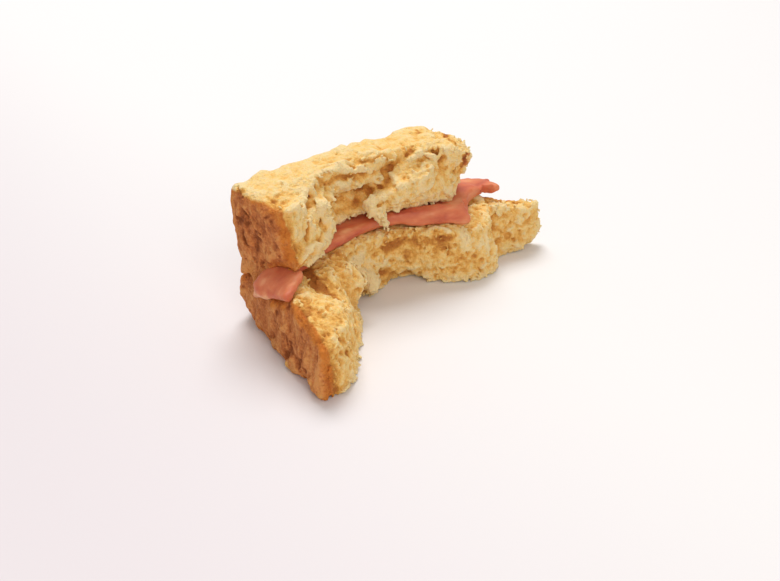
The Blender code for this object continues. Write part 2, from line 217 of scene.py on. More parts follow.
UPPER_FORMS = {
    "notch_at_corner": Form(((238, 183), (239, 192)), 0.8, 0.35, 0.6),
    "seam_by_corner": Form(((238, 190), (240, 212), (242, 236)), 0.7, 0.25, 0.9),
    # Painted shade darkens the slit and groove under the lip; painted highlight pales the lips and buttress.
    "slit_under_lip": Form(((313, 195), (317, 189), (321, 184)), 1.1, 1.2, 0.6),
    "groove_under_lip": Form(
        ((322, 181), (332, 177), (344, 175), (356, 175), (368, 178), (380, 182)), 1.2, 0.9, 0.5
    ),
    "lip": Form(((286, 188), (297, 191), (308, 191), (314, 194)), 1.1, -0.35, -0.3),
    "lip_right": Form(
        ((322, 176), (336, 170), (350, 168), (364, 170), (378, 172), (388, 166)), 1.3, -0.45, -0.2
    ),
    "buttress": Form(((320, 212), (322, 200), (327, 190), (336, 184), (346, 183)), 1.3, -0.8, -0.4),
    # Painted shade darkens the recess and the grooves behind the flap and its crest; painted highlight pales
    # the crest.
    "recess": Form(((338, 198), (346, 204), (356, 198), (362, 190)), 2.8, 1.0, 0.3),
    "recess_floor": Form(((334, 216), (346, 214), (358, 208)), 1.8, 0.6, 0.45),
    "groove_behind_flap": Form(
        ((362, 198), (370, 191), (379, 184), (385, 177), (393, 169), (398, 161), (405, 153)), 1.7, 0.9, 0.5
    ),
    "groove_behind_crest": Form(((405, 150), (414, 146), (424, 146), (434, 149), (440, 155)), 1.4, 0.4, 0.4),
    "crest_of_flap": Form(
        ((367, 205), (376, 197), (388, 187), (395, 178), (401, 169),
         (408, 160), (418, 153), (428, 152), (434, 157)), 1.4, -1.1, -0.5
    ),
    # On the flap, painted highlight pales the tongue, low rim and shred; painted shade darkens its folds and
    # the patch right of it.
    "flap_mass": Form(((384, 200), (396, 192), (408, 184), (420, 176), (430, 170)), 3.6, -0.7, 0.15),
    "flap_tongue": Form(((390, 178), (395, 177)), 0.9, -0.5, -0.4),
    "flap_fold": Form(((374, 207), (386, 209)), 0.6, 0.4, 0.8),
    "flap_right_fold": Form(((436, 156), (438, 166), (434, 172)), 0.8, 0.5, 0.4),
    "right_of_flap": Form(((439, 158), (445, 170), (448, 182)), 1.6, 0.3, 0.6),
    "flap_low_rim": Form(((398, 208), (412, 203), (426, 196), (440, 194), (450, 192)), 1.1, -0.4, -0.2),
    "shred": Form(((370, 212), (376, 219), (384, 228)), 1.4, -0.4, -0.4),
    "shred_side": Form(((380, 213), (387, 217), (389, 222)), 1.1, -0.4, -0.3),
    # Painted shade darkens the top's grooves and dip; painted highlight pales its ridges.
    "top_groove_back": Form(((322, 163), (336, 161), (350, 157)), 0.9, 0.45, 0.35),
    "top_groove_middle": Form(((352, 164), (366, 160), (378, 156), (392, 154)), 1.0, 0.55, 0.5),
    "top_groove_right": Form(((372, 149), (386, 146), (398, 141)), 1.0, 0.45, 0.35),
    "top_dip": Form(((402, 143), (410, 147)), 1.6, 0.3, 0.4),
    "top_ridge_middle": Form(((358, 153), (372, 150), (386, 150)), 1.1, -0.4, -0.3),
    "top_ridge_left": Form(((282, 183), (296, 179), (312, 178)), 1.4, -0.25, -0.3),
    "back_edge_left": Form(((264, 173), (271, 169), (278, 166)), 2.6, -0.25, 0.0),
    "back_edge_middle": Form(((345, 149), (352, 146), (360, 143)), 3.0, -0.4, 0.0),
    "back_edge_right": Form(((373, 139), (381, 137)), 2.4, -0.3, 0.0),
    "spot_left": Form(((302, 162),), 0.7, 0.15, 0.9),
    "spot_middle": Form(((365, 166),), 0.6, 0.3, 0.9),
    "spot_back": Form(((346, 154),), 0.8, 0.2, 0.5),
    "spot_right": Form(((433, 148),), 0.55, 0.35, 1.1),
    "crust_chip_back": Form(((411, 130), (416, 132)), 1.0, -0.15, 1.8),
    "crust_chip_middle": Form(((399, 131), (404, 131)), 0.6, 0.0, 0.8),
    "right_rim": Form(((445, 135), (451, 140), (456, 147)), 1.3, -0.15, 1.5),
    "right_rim_low": Form(((467, 156), (465, 166)), 1.1, 0.0, 1.4),
    "right_face_shade": Form(((452, 172), (462, 176)), 1.6, 0.4, 0.35),
    # Painted shade darkens the wall's folds and the pit by it; painted highlight pales its bulges and the
    # hanging crumb.
    "wall_fold_left": Form(((306, 206), (308, 222), (305, 238)), 0.9, 0.8, 0.5),
    "wall_fold_right": Form(((318, 214), (322, 228), (318, 240)), 1.0, 0.45, 0.45),
    "wall_bulge_left": Form(((298, 204), (299, 220), (296, 240)), 1.3, -0.5, -0.2),
    "wall_bulge_right": Form(((326, 214), (329, 228), (324, 240)), 1.3, -0.5, -0.25),
    "hang_left": Form(((296, 262), (304, 257), (312, 251), (320, 246)), 1.3, -1.3, -0.4),
    "pit_by_wall": Form(((307, 219),), 0.5, 0.6, 0.8),
    "dark_patch_low": Form(((252, 260), (258, 268)), 0.9, 0.25, 0.8),
    "wrinkle_left": Form(((262, 222), (264, 238), (268, 252)), 0.7, 0.22, 0.9),
    "wrinkle_middle": Form(((252, 214), (255, 230), (258, 244)), 0.7, 0.18, 0.8),
    "wrinkle_top": Form(((258, 206), (266, 207)), 0.7, 0.15, 0.9),
}

LOWER_FORMS = {
    "dark_patch": Form(((252, 270), (258, 275)), 0.9, 0.15, 0.7),
    "flat_left": Form(((243, 290), (246, 302), (251, 312)), 3.2, 0.9, 0.0),
    "bulge_first": Form(((257, 316), (261, 326)), 2.0, -0.3, 0.0),
    "bulge_second": Form(((277, 345), (282, 348)), 1.6, -0.6, 0.0),
    "bulge_third": Form(((293, 364), (299, 370)), 2.0, -0.7, 0.0),
    "bulge_fourth": Form(((311, 384), (320, 391)), 2.2, -0.6, -0.2),
    "notch_first": Form(((269, 342), (274, 335)), 1.0, 0.9, 0.7),
    "notch_second": Form(((286, 358), (291, 349)), 1.0, 1.0, 0.8),
    "notch_third": Form(((303, 379), (306, 368)), 1.0, 1.0, 0.7),
    "pit_a": Form(((274, 305),), 0.8, 0.3, 0.9),
    "pit_b": Form(((291, 326),), 0.75, 0.4, 1.1),
    "pit_c": Form(((277, 328), (278, 332)), 0.65, 0.35, 0.9),
    "pit_d": Form(((287, 338), (288, 341)), 0.7, 0.35, 1.0),
    "pit_e": Form(((284, 324),), 0.6, 0.3, 0.8),
    "pit_f": Form(((266, 312), (267, 316)), 0.65, 0.25, 0.6),
    "pit_g": Form(((300, 344), (303, 342)), 0.6, 0.25, 0.7),
    "pit_h": Form(((299, 333), (301, 336)), 0.6, 0.25, 0.6),
    "pit_i": Form(((312, 356), (315, 360)), 0.8, 0.2, 0.5),
    "pit_j": Form(((318, 377),), 0.6, 0.25, 0.7),
    "pit_k": Form(((262, 300), (264, 303)), 0.7, 0.25, 0.5),
    "orange_upper": Form(((293, 299), (296, 310)), 1.3, 0.0, -0.8),
    "orange_middle": Form(((303, 323), (310, 331), (316, 334)), 1.4, -0.1, -0.9),
    "orange_low": Form(((322, 346), (330, 356), (332, 366)), 1.8, 0.0, -0.5),
    # Painted shade darkens the hollow where the leg meets the ham and the slice above; painted highlight
    # pales the crest and the rise beside it.
    "leg_hollow": Form(((306, 270), (312, 277), (322, 285)), 2.3, 0.8, 3.0),
    "leg_hollow_golden": Form(((320, 286), (330, 292), (337, 299)), 2.2, 0.4, 1.0),
    "leg_hollow_red": Form(((304, 268), (310, 272), (318, 277)), 1.5, 0.3, 1.6),
    "leg_crest": Form(((300, 290), (310, 300), (322, 300)), 1.6, -0.3, -0.3),
    "rise_left": Form(((308, 262), (316, 258), (324, 254)), 1.6, -1.2, -0.9),
    "leg_top_shade": Form(((318, 304), (330, 310), (336, 318)), 3.0, 0.0, 0.35),
    # Painted shade darkens the leg's pits and dent.
    "leg_pit_a": Form(((309, 316),), 0.7, 0.35, 0.5),
    "leg_pit_b": Form(((331, 319),), 0.4, 0.6, 1.2),
    "leg_dent": Form(((341, 338), (343, 347), (348, 356)), 1.0, 0.7, 0.7),
    "leg_golden": Form(((354, 320), (357, 326)), 1.2, 0.3, 0.5),
    "leg_golden_low": Form(((352, 345), (349, 354)), 1.0, 0.2, 0.35),
    "leg_tip": Form(((330, 388), (340, 388)), 1.6, 0.0, 0.5),
    # Painted shade darkens the wall's pockets and dips and the block's dips; painted highlight pales the
    # block's glow and crest and the wall's low rim.
    "wall_pocket_left": Form(((371, 254), (378, 256)), 1.2, 0.25, 0.4),
    "wall_pocket_high": Form(((393, 244), (404, 245), (415, 246)), 1.6, 0.3, 0.5),
    "wall_dip": Form(((406, 255), (418, 252)), 2.0, 0.3, 0.4),
    "wall_dip_right": Form(((436, 252), (446, 249)), 2.0, 0.25, 0.4),
    "block_dip": Form(((458, 256), (468, 260), (476, 255)), 2.6, 0.3, 0.5),
    "block_dip_high": Form(((474, 238), (482, 236)), 1.6, 0.2, 0.35),
    "block_glow": Form(((462, 240), (472, 248), (482, 246)), 3.4, 0.0, -0.5),
    "block_crest": Form(((484, 226), (488, 240), (488, 254)), 1.3, -0.35, -0.3),
    "block_chip": Form(((494, 262), (496, 258)), 0.7, -0.1, 0.8),
    "wall_low_rim": Form(((408, 268), (424, 274), (440, 276), (456, 277), (474, 273)), 1.3, -0.3, -0.2),
    "drip": Form(((356, 262), (362, 272), (372, 280)), 2.8, -0.4, -1.4),
    "drip_tip": Form(((374, 284), (377, 289)), 1.6, -0.6, -1.2),
    # Painted highlight pales the wall's left part; painted shade darkens the far pores and dip.
    "wall_left_glow": Form(((348, 264), (360, 257), (376, 260), (388, 262)), 2.8, 0.0, -0.7),
    "far_pore_a": Form(((510, 214), (515, 212)), 1.2, 0.3, 0.5),
    "far_pore_b": Form(((505, 236), (511, 238)), 1.1, 0.3, 0.5),
    "far_pore_c": Form(((500, 226), (503, 229)), 1.0, 0.25, 0.4),
    "far_dip": Form(((496, 246), (504, 250)), 1.0, 0.4, 0.4),
    "far_notch": Form(((535, 211), (534, 216), (533, 220)), 1.7, 1.5, 0.2),
    "far_low_corner": Form(((536, 240), (534, 245), (529, 249)), 2.2, 1.4, 0.1),
    "wall_shade": Form(((392, 240), (406, 238), (424, 237), (445, 237)), 3.0, 0.0, 1.1),
    "wall_shade_left": Form(((340, 252), (356, 245), (374, 241)), 1.6, 0.0, 0.5),
    # Painted shade darkens the undercut of the arch and the place under the drip.
    "arch": Form(((383, 276), (392, 275), (402, 276), (412, 279)), 1.9, 1.9, 0.3),
    "arch_low": Form(((381, 281), (392, 281), (404, 281)), 1.9, 1.6, 0.3),
    "drip_under": Form(((358, 292), (365, 294), (371, 295)), 1.2, 0.8, 0.2),
    "crumb_on_block": Form(((430, 230), (438, 229), (446, 231)), 1.0, -0.8, -2.0),
    "crumb_by_ham": Form(((468, 199), (474, 198), (480, 200)), 1.4, -1.2, -0.9),
}

HAM_FORMS = {
    # Painted highlight runs along the band's rounded fold.
    "highlight_streak_left": Form(((333, 241), (343, 233), (354, 227), (366, 223)), 0.8, -0.05, -0.8),
    "highlight_streak_middle": Form(((396, 224), (414, 222), (432, 220)), 0.8, 0.0, -0.1),
    "shade_under_slice": Form(((332, 231), (342, 226), (354, 221), (366, 217)), 1.0, 0.0, 1.4),
    "shade_under_flap": Form(((396, 214), (412, 209), (428, 203), (446, 199)), 1.0, 0.0, 1.3),
    "shade_low": Form(((336, 246), (350, 239), (370, 234), (392, 231)), 0.6, 0.0, 0.6),
    # Painted shade darkens the fold at the right.
    "fold_right": Form(((436, 222), (446, 214), (456, 212)), 0.9, 0.25, 0.3),
    "front_tip": Form(((452, 222), (460, 221), (466, 220)), 1.8, 0.0, -0.6),
    "flap_middle": Form(((262, 280), (275, 284), (286, 285)), 4.0, 0.0, -0.05),
    "flap_right_corner": Form(((305, 267), (304, 271)), 2.2, 1.8, 0.2),
    "front_end_corner": Form(((466, 203), (467, 207)), 1.5, 1.6, 0.0),
    "flap_cut_edge": Form(((254, 294), (262, 297), (274, 299), (286, 300)), 0.8, 0.0, -1.5),
    # Painted shade darkens the place behind the flap and the end's notches; painted highlight pales the
    # knob.
    "behind_flap": Form(((458, 190), (466, 186)), 2.0, 0.0, 0.3),
    "end_notch": Form(((484, 190), (489, 189)), 1.1, 1.6, 0.4),
    "end_notch_top": Form(((483, 177), (486, 178)), 1.0, 1.2, 0.3),
    "end_knob": Form(((491, 180), (495, 183)), 1.0, -0.2, -0.3),
}


def pixel_direction(pixel):
    """The direction in which the camera sees a pixel, in the part's frame."""
    across = (pixel[0] - IMAGE_WIDTH / 2) / IMAGE_WIDTH * SENSOR / LENS
    rise = (IMAGE_HEIGHT / 2 - pixel[1]) / IMAGE_WIDTH * SENSOR / LENS
    level = math.cos(PITCH)
    forward = Vector((math.sin(HEADING) * level, math.cos(HEADING) * level, -math.sin(PITCH)))
    right = Vector((math.cos(HEADING), -math.sin(HEADING), 0.0))
    return (forward + right * across + right.cross(forward) * rise).normalized()


def seen_places(tree, pixels):
    """Places where the rays through a line of pixels meet a solid."""
    stops = [pixels[0]]
    for start, end in zip(pixels, pixels[1:]):
        count = math.ceil(math.dist(start, end) / PIXEL_STEP)
        for i in range(1, count + 1):
            stops.append([s + (e - s) * i / count for s, e in zip(start, end)])
    hits = [tree.ray_cast(Vector(EYE), pixel_direction(stop))[0] for stop in stops]
    return [hit for hit in hits if hit is not None]


# Fields


def spline_weights(places, wavelength, seed_offset):
    """Cubic B-spline weights of each place on a lattice of that wavelength."""
    scaled = places / wavelength + seed_offset
    low = math.floor(scaled.min()) - 1
    count = math.ceil(scaled.max()) + 3 - low
    weights = np.zeros((len(places), count), np.float32)
    cell = np.floor(scaled).astype(int)
    t = scaled - cell
    rows = np.arange(len(places))
    basis = (
        (1 - t) ** 3 / 6,
        (3 * t**3 - 6 * t**2 + 4) / 6,
        (-3 * t**3 + 3 * t**2 + 3 * t + 1) / 6,
        t**3 / 6,
    )
    for offset, part in enumerate(basis):
        weights[rows, cell - low - 1 + offset] += part
    return weights


class Field:
    """Distances to a solid's surface on a grid, in millimetres: below 0 inside."""

    def __init__(self, obj, step):
        mesh = obj.data
        mesh.calc_loop_triangles()
        points = np.zeros(len(mesh.vertices) * 3, np.float32)
        mesh.vertices.foreach_get("co", points)
        self.points = points.reshape(-1, 3) / MM
        faces = np.zeros(len(mesh.loop_triangles) * 3, np.int32)
        mesh.loop_triangles.foreach_get("vertices", faces)
        self.faces = faces.reshape(-1, 3)
        self.step = step
        grid = vdb.FloatGrid.createLevelSetFromPolygons(
            self.points,
            triangles=self.faces.astype(np.uint32),
            transform=vdb.createLinearTransform(voxelSize=step),
            halfWidth=BAND / step,
        )
        low = np.floor(self.points.min(0) / step).astype(int) - MARGIN
        high = np.ceil(self.points.max(0) / step).astype(int) + MARGIN
        self.low = low
        self.d = np.zeros(tuple(high - low + 1), np.float32)
        grid.copyToArray(self.d, ijk=tuple(int(v) for v in low))
        self.axes = [(np.arange(n) + low[i]).astype(np.float32) * step for i, n in enumerate(self.d.shape)]
        self.soften(2)
        self.coarse = self.d.copy()

    def soften(self, times):
        """Averages neighbours, which takes away the solid's facets."""
        for _ in range(times):
            for axis in range(3):
                near = np.roll(self.d, 1, axis) + np.roll(self.d, -1, axis)
                self.d = (near + 2 * self.d) / 4

    def noise(self, wavelength, seed):
        """Smooth noise with mean 0 and spread 1. The wavelength is one number, or one for each axis."""
        rng = np.random.default_rng(seed)
        lengths = (wavelength,) * 3 if np.isscalar(wavelength) else wavelength
        wx, wy, wz = (spline_weights(a, w, rng.random()) for a, w in zip(self.axes, lengths))
        lattice = rng.standard_normal((wx.shape[1], wy.shape[1], wz.shape[1])).astype(np.float32)
        values = np.einsum("ia,abc->ibc", wx, lattice, optimize=True)
        values = np.einsum("jb,ibc->ijc", wy, values, optimize=True)
        values = np.einsum("kc,ijc->ijk", wz, values, optimize=True)
        return values / values.std()

    def coordinates(self):
        """The places of the voxels along each axis."""
        return np.meshgrid(*self.axes, indexing="ij", sparse=True)

    def window(self, centre, reach):
        """The slices of the grid within reach of a point, or None where it lies outside."""
        ranges = []
        for i in range(3):
            start = int(math.floor((centre[i] - reach) / self.step)) - int(self.low[i])
            stop = int(math.ceil((centre[i] + reach) / self.step)) - int(self.low[i]) + 1
            start = max(start, 0)
            stop = min(stop, self.d.shape[i])
            if start >= stop:
                return None
            ranges.append(slice(start, stop))
        return tuple(ranges)

    def ball(self, centre, radii, turn, warp):
        """A window and, in it, how deep each place lies inside an ellipsoid that the warp makes ragged."""
        reach = max(radii) * 1.35
        window = self.window(centre, reach)
        if window is None:
            return None, None
        near = [self.axes[i][window[i]] - centre[i] for i in range(3)]
        x, y, z = np.meshgrid(*near, indexing="ij", sparse=True)
        if warp is not None:
            wx, wy, wz = (w[window] for w in warp)
            x, y, z = x + wx, y + wy, z + wz
        local = []
        for row, radius in zip(turn, radii):
            local.append((x * row[0] + y * row[1] + z * row[2]) / radius)
        distance = np.sqrt(local[0] ** 2 + local[1] ** 2 + local[2] ** 2)
        return window, (1 - distance) * min(radii)

    def carve(self, centre, radii, turn, warp=None):
        window, depth = self.ball(centre, radii, turn, warp)
        if window is not None:
            self.d[window] = np.maximum(self.d[window], depth)

    def add(self, centre, radii, turn, warp=None):
        window, depth = self.ball(centre, radii, turn, warp)
        if window is not None:
            self.d[window] = np.minimum(self.d[window], -depth)

    def fall(self, place, radius, warp):
        """A window and, in it, how near each voxel is to a place: 1 on it, 0 a radius away."""
        window = self.window(place, radius)
        if window is None:
            return None, None
        near = [self.axes[i][window[i]] - place[i] for i in range(3)]
        x, y, z = (a + w[window] for a, w in zip(np.meshgrid(*near, indexing="ij", sparse=True), warp))
        return window, np.clip(1 - (x * x + y * y + z * z) / radius**2, 0, 1) ** 2

    def cover(self, places, radius, warp):
        """How near each voxel is to a line of places: 1 on it, 0 a radius away."""
        share = np.zeros_like(self.d)
        for place in places:
            window, fall = self.fall(place, radius, warp)
            if window is not None:
                share[window] = np.maximum(share[window], fall)
        return share

    def blurred(self, values, reach):
        """Values averaged over a reach in millimetres."""
        half = max(1, round(reach / self.step))
        for axis in (0, 1, 2, 0, 1, 2):
            pad = [(half + 1, half) if a == axis else (0, 0) for a in range(3)]
            total = np.cumsum(np.pad(values, pad, mode="edge"), axis)
            count = values.shape[axis]
            high = np.take(total, np.arange(2 * half + 1, 2 * half + 1 + count), axis)
            low = np.take(total, np.arange(count), axis)
            values = (high - low) / (2 * half + 1)
        return values

    def sample(self, values, places):
        """Values of a grid at places, by the nearest voxel."""
        index = np.round(places / self.step).astype(int) - self.low
        index = np.clip(index, 0, np.array(values.shape) - 1)
        return values[index[:, 0], index[:, 1], index[:, 2]]

    def mesh(self, name):
        """The field's surface as an object, without loose scraps."""
        grid = vdb.FloatGrid(BAND)
        grid.transform = vdb.createLinearTransform(voxelSize=self.step)
        border = self.d.copy()
        for axis in range(3):
            edge = [slice(None)] * 3
            for end in (0, -1):
                edge[axis] = end
                border[tuple(edge)] = BAND
        grid.copyFromArray(np.clip(border, -BAND, BAND), ijk=tuple(int(v) for v in self.low))
        points, triangles, quads = grid.convertToPolygons(isovalue=0.0, adaptivity=ADAPTIVITY)
        points, triangles, quads = largest_piece(points, triangles.astype(np.int64), quads.astype(np.int64))
        return mesh_object(name, points * MM, triangles, quads), points


def largest_piece(points, triangles, quads):
    """Keeps the largest connected piece of a mesh."""
    edges = np.concatenate([quads[:, :2], quads[:, 1:3], quads[:, 2:], triangles[:, :2], triangles[:, 1:]])
    label = np.arange(len(points))
    while True:
        before = label.copy()
        low = np.minimum(label[edges[:, 0]], label[edges[:, 1]])
        np.minimum.at(label, edges[:, 0], low)
        np.minimum.at(label, edges[:, 1], low)
        label = label[label]
        if np.array_equal(before, label):
            break
    kept = label == np.bincount(label).argmax()
    number = np.cumsum(kept) - 1
    return points[kept], number[triangles[kept[triangles[:, 0]]]], number[quads[kept[quads[:, 0]]]]


def mesh_object(name, points, triangles, quads):
    """A smooth object of triangles and quads."""
    mesh = bpy.data.meshes.new(name)
    corners = np.concatenate([triangles.ravel(), quads.ravel()]).astype(np.int32)
    starts = np.concatenate(
        [np.arange(len(triangles)) * 3, triangles.size + np.arange(len(quads)) * 4]
    ).astype(np.int32)
    mesh.vertices.add(len(points))
    mesh.vertices.foreach_set("co", points.astype(np.float32).ravel())
    mesh.loops.add(len(corners))
    mesh.loops.foreach_set("vertex_index", corners)
    mesh.polygons.add(len(starts))
    mesh.polygons.foreach_set("loop_start", starts)
    mesh.polygons.foreach_set("use_smooth", np.ones(len(starts), bool))
    mesh.update(calc_edges=True)
    mesh.validate()
    obj = bpy.data.objects.new(name, mesh)
    bpy.context.scene.collection.objects.link(obj)
    return obj


def attribute(obj, name, values):
    """Keeps a value for each vertex, for the material."""
    layer = obj.data.attributes.new(name, "FLOAT", "POINT")
    layer.data.foreach_set("value", values.astype(np.float32))


def ramp(value, start, end):
    """0 up to the start and 1 from the end on, smooth between them."""
    share = np.clip((value - start) / (end - start), 0.0, 1.0)
    return share * share * (3 - 2 * share)


def random_turn(rng):
    """A random rotation, as three rows."""
    w, x, y, z = rng.standard_normal(4)
    size = math.sqrt(w * w + x * x + y * y + z * z)
    w, x, y, z = w / size, x / size, y / size, z / size
    return (
        (1 - 2 * (y * y + z * z), 2 * (x * y - z * w), 2 * (x * z + y * w)),
        (2 * (x * y + z * w), 1 - 2 * (x * x + z * z), 2 * (y * z - x * w)),
        (2 * (x * z - y * w), 2 * (y * z + x * w), 1 - 2 * (x * x + y * y)),
    )


# Surface of the CAD solids


class Surface:
    """A solid's triangles: random places on them, and the distances to its crust and to its crumb."""

    def __init__(self, field, crust_depth):
        corners = field.points[field.faces]
        cross = np.cross(corners[:, 1] - corners[:, 0], corners[:, 2] - corners[:, 0])
        double_area = np.linalg.norm(cross, axis=1)
        self.corners = corners
        self.areas = double_area / 2
        self.normals = cross / np.maximum(double_area, 1e-9)[:, None]
        centres = corners.mean(1)
        depth = crust_depth(centres[:, 0], centres[:, 1], centres[:, 2])
        self.is_crust = (depth < CRUST_DEPTH) & (np.abs(self.normals[:, 2]) < CRUST_LEVEL)
        self.is_under = (centres[:, 2] < UNDER_HEIGHT) & (self.normals[:, 2] < UNDER_LEVEL)
        self.is_crumb = ~self.is_crust & ~self.is_under
        self.points = [Vector(p) for p in field.points]
        self.faces = [tuple(int(i) for i in face) for face in field.faces]
        self.tree = BVHTree.FromPolygons(self.points, self.faces)
        self.crust_tree = self.tree_of(self.is_crust)
        self.crumb_tree = self.tree_of(self.is_crumb)

    def tree_of(self, wanted):
        faces = [face for face, keep in zip(self.faces, wanted) if keep]
        return BVHTree.FromPolygons(self.points, faces)

    def scatter(self, per_area, rng, wanted):
        """Random places and normals on the wanted triangles, so many for each square millimetre."""
        chance = self.areas * wanted.astype(float)
        count = int(float(chance.sum()) * per_area)
        picks = rng.choice(len(chance), size=count, p=chance / chance.sum())
        u, v = rng.random((2, count))
        flip = u + v > 1
        u[flip], v[flip] = 1 - u[flip], 1 - v[flip]
        c = self.corners[picks]
        places = c[:, 0] + u[:, None] * (c[:, 1] - c[:, 0]) + v[:, None] * (c[:, 2] - c[:, 0])
        return places, self.normals[picks]


def distances(tree, places):
    out = np.zeros(len(places), np.float32)
    for i, place in enumerate(places):
        out[i] = tree.find_nearest(Vector(place))[3]
    return out


# Crusts


def line_depth(x, y, start, end):
    """How far a place lies to the right of the line from start to end, in the slices' frame."""
    dx, dy = end[0] - start[0], end[1] - start[1]
    length = math.hypot(dx, dy)
    return ((x - CORNER[0] - start[0]) * dy - (y - CORNER[1] - start[1]) * dx) / length


def rounded_corner(first, second, radius):
    """The lesser of two depths, round where both are less than the radius."""
    inner = radius - np.hypot(radius - first, radius - second)
    return np.where(np.maximum(first, second) < radius, inner, np.minimum(first, second))


def depth_behind(x, y, crust, radius):
    """How far a place lies behind the lines of a crust whose corner is round."""
    left, back, right = (line_depth(x, y, start, end) for start, end in zip(crust, crust[1:]))
    return np.minimum(rounded_corner(left, back, radius), right)


def lower_crust_depth(x, y, z):
    return depth_behind(x, y, LOWER_CRUST, LOWER_ROUND)


def upper_crust_depth(x, y, z):
    return depth_behind(x, y, UPPER_CRUST, UPPER_ROUND) - UPPER_LEAN * (UPPER_TOP - z) / UPPER_HEIGHT


def corner_distance(x, y):
    return np.hypot(x - CORNER[0], y - CORNER[1])


def pinched_depth(x, y, z):
    """The depth behind the crust that runs from one slice to the other at the corner."""
    rise = np.clip((z - GAP_LOW) / GAP_HEIGHT, 0, 1)
    return lower_crust_depth(x, y, z) * (1 - rise) + upper_crust_depth(x, y, z) * rise


def before_end(x, end):
    """1 as far along as the crust shows, 0 past it, where the bread is torn."""
    return ramp(x, end + 1.0, end - 1.0)


# Bread

# A slice: its node, how deep a place lies behind its crust, its forms from the photograph, the seed of its
# noise, whether it lies on the table, where its crust ends along X, how its crumb stretches and how brown
# it is all over: partly its own brown, and on the lower slice partly painted shade.
Slice = namedtuple("Slice", "node crust_depth forms seed lying end grain tone")

SLICES = (
    Slice("bread_lower", lower_crust_depth, LOWER_FORMS, 100, True, 31.0, (1.0, 1.0, 1.0), 0.3),
    Slice("bread_upper", upper_crust_depth, UPPER_FORMS, 200, False, 14.0, (1.7, 1.0, 1.0), 0.05),
)


def pinch_corner(field, lying):
    """Closes the slice's half of the gap at the corner of the crusts."""
    x, y, z = field.coordinates()
    wall = np.abs(pinched_depth(x, y, z) - PINCH_MIDDLE) - PINCH_HALF
    side = z - PINCH_SEAM if lying else PINCH_SEAM + PINCH_OVERLAP - z
    band = np.maximum(side, -side - PINCH_HEIGHT)
    beyond = PINCH_FADE * (corner_distance(x, y) - PINCH_LENGTH)
    filler = np.maximum(np.maximum(wall, band), beyond)
    share = np.clip(0.5 + (filler - field.d) / (2 * PINCH_BLEND), 0, 1)
    field.d = filler * (1 - share) + field.d * share - PINCH_BLEND * share * (1 - share)


def work_forms(field, tree, forms, uneven, warp):
    """The forms that the photograph shows. Returns how much darker or paler each voxel is for them: the
    bread's own brown in places, painted shade and highlight in others.
    """
    brown = np.zeros_like(field.d)
    for form in forms.values():
        cover = field.cover(seen_places(tree, form.pixels), form.radius, warp)
        cover *= uneven
        field.d = field.d + form.depth * cover
        brown = brown + form.brown * cover
    return brown


def work_tufts(field, seed, rough, grain):
    """The torn crumb: round tufts with narrow valleys between them, rough with finer crests."""
    relief = sum(share * field.noise(wave, seed + k) for k, (share, wave) in enumerate(TUFT_GRIT, 5))
    for k, (share, wave, stretch) in enumerate(TUFTS, 1):
        noise = field.noise([wave * g * s for g, s in zip(grain, stretch)], seed + k)
        height = np.minimum(np.sqrt(noise * noise + TUFT_ROUND), TUFT_HIGH) - TUFT_MEAN
        relief = relief + share * height
    field.d = field.d + rough * relief


def work_flakes(field, surface, rng, warp, crumb, convex):
    """Small flakes that stand out of the torn crumb, most of them along its edges."""
    places, normals = surface.scatter(FLAKES, rng, surface.is_crumb)
    chance = FLAKE_CHANCE * np.clip(field.sample(convex, places) / FLAKE_EDGE - FLAKE_FLAT, 0, 1)
    chance = chance * (field.sample(crumb, places) > PURE_CRUMB)
    kept = rng.random(len(places)) < chance
    for place, normal in zip(places[kept], normals[kept]):
        size = rng.uniform(*FLAKE_SIZES)
        centre = place + normal * size * FLAKE_RISE
        field.add(centre, size * np.array(FLAKE_SHAPE), random_turn(rng), warp)


def work_pores(field, surface, rng, warp):
    """Open pores in the crumb: a few shallow ones and many small ones."""
    for per_area, low, high, rise in PORES:
        places, normals = surface.scatter(per_area, rng, surface.is_crumb)
        for place, normal in zip(places, normals):
            radius = rng.uniform(low, high)
            centre = place + normal * rise * radius
            field.carve(centre, radius * rng.uniform(*PORE_SHAPES, 3), random_turn(rng), warp)


def work_pits(field, surface, rng, warp, brown, end):
    """Shallow pits in the crust, browner than the rest of it, as far along as the crust shows."""
    places = surface.scatter(PITS, rng, surface.is_crust & (surface.corners[:, 0, 0] < end))[0]
    for place in places:
        window, fall = field.fall(place, rng.uniform(*PIT_RADII), warp)
        share = rng.random()
        field.d[window] += (PIT_DEPTH[0] + PIT_DEPTH[1] * share) * fall
        brown[window] += (PIT_BROWN[0] + PIT_BROWN[1] * share) * fall


